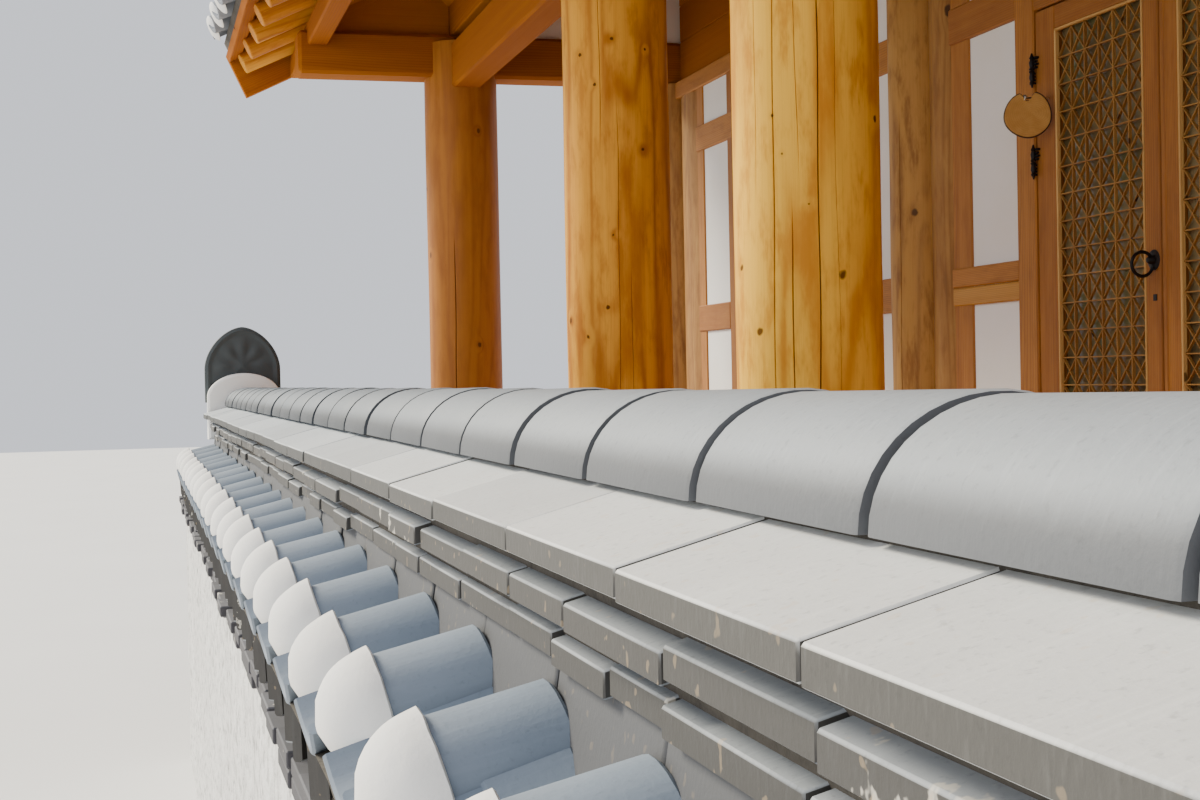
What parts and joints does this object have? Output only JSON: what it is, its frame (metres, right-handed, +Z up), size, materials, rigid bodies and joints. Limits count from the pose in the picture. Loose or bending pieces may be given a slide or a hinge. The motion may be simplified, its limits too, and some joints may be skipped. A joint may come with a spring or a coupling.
{
  "type": "hanok house with its low tile-capped front wall",
  "caption": "Timber hanok with round log columns, an open gallery, plaster and lattice walls, a hinged lattice door pair, a tiled gable roof and a low tiled wall along its front.",
  "frame": {"origin": "on the ground, in the middle of the house's length, under the row of front columns", "axes": "+X along the front, +Y from the front towards the rear, +Z up"},
  "size_m": [9.566, 6.0225, 4.95],
  "materials": {
    "pine_column": "round pine logs, planed and oiled, warm honey colour, with drying cracks and knots",
    "pine_beam": "squared pine, oiled, reddish honey",
    "pine_joinery": "fine planed pine, oiled",
    "white_plaster": "smooth white lime plaster",
    "dressed_stone": "dressed granite",
    "clay_tile": "blue-grey fired clay, matt",
    "rough_lime": "rough white lime render",
    "black_iron": "blackened iron",
    "pane": "clear glass",
    "end_tile": "near-black fired clay with a moulded face"
  },
  "bodies": {
    "root": {"centre_frame_left": "pine_beam", "centre_frame_right": "pine_beam", "centre_plaster_left": "white_plaster", "centre_plaster_right": "white_plaster", "cross_beam_1": "pine_beam", "cross_beam_2": "pine_beam", "cross_beam_3": "pine_beam", "cross_beam_4": "pine_beam", "door_head": "pine_beam", "door_threshold": "pine_beam", "front_column_1": "pine_column", "front_column_2": "pine_column", "front_column_3": "pine_column", "front_column_4": "pine_column", "front_column_5": "pine_column", "front_eave_purlin": "pine_beam", "front_purlin": "pine_beam", "front_rafters": "pine_beam", "front_roof_tiles": "clay_tile", "front_tie_beam": "pine_beam", "front_upper_wall": "pine_beam", "gallery_floor": "pine_joinery", "left_bay_frame": "pine_beam", "left_bay_plaster": "white_plaster", "left_bay_window": "pine_joinery", "left_gable": "white_plaster", "left_wall_plaster": "white_plaster", "left_wall_timbers": "pine_beam", "low_wall_body": "rough_lime", "low_wall_coping": "clay_tile", "low_wall_end_cap": "rough_lime", "low_wall_end_tile": "end_tile", "low_wall_plate_tiles": "clay_tile", "low_wall_ridge_tiles": "clay_tile", "main_ridge": "clay_tile", "rear_eave_purlin": "pine_beam", "rear_purlin": "pine_beam", "rear_rafters": "pine_beam", "rear_roof_tiles": "clay_tile", "rear_wall_plaster": "white_plaster", "rear_wall_timbers": "pine_beam", "ridge_purlin": "pine_beam", "right_bay_frame": "pine_beam", "right_bay_plaster": "white_plaster", "right_bay_window": "pine_joinery", "right_gable": "white_plaster", "right_wall_plaster": "white_plaster", "right_wall_timbers": "pine_beam", "room_floor": "white_plaster", "stone_platform": "dressed_stone", "wall_column_1": "pine_column", "wall_column_2": "pine_column", "wall_column_3": "pine_column", "wall_column_4": "pine_column"},
    "left_leaf": {"left_door_leaf": "pine_joinery", "left_door_pane": "pane", "left_ring_pull": "black_iron", "wooden_disc": "pine_joinery"},
    "right_leaf": {"right_door_leaf": "pine_joinery", "right_door_pane": "pane"}
  },
  "joints": [
    {"name": "left_door_hinge", "type": "hinge", "parent": "root", "child": "left_leaf", "pos_m": [-0.7105, 0.981, 1.775], "axis": [0, 0, -1], "range_deg": [0, 90]},
    {"name": "right_door_hinge", "type": "hinge", "parent": "root", "child": "right_leaf", "pos_m": [0.4525, 0.981, 1.775], "axis": [0, 0, 1], "range_deg": [0, 90]}
  ]
}
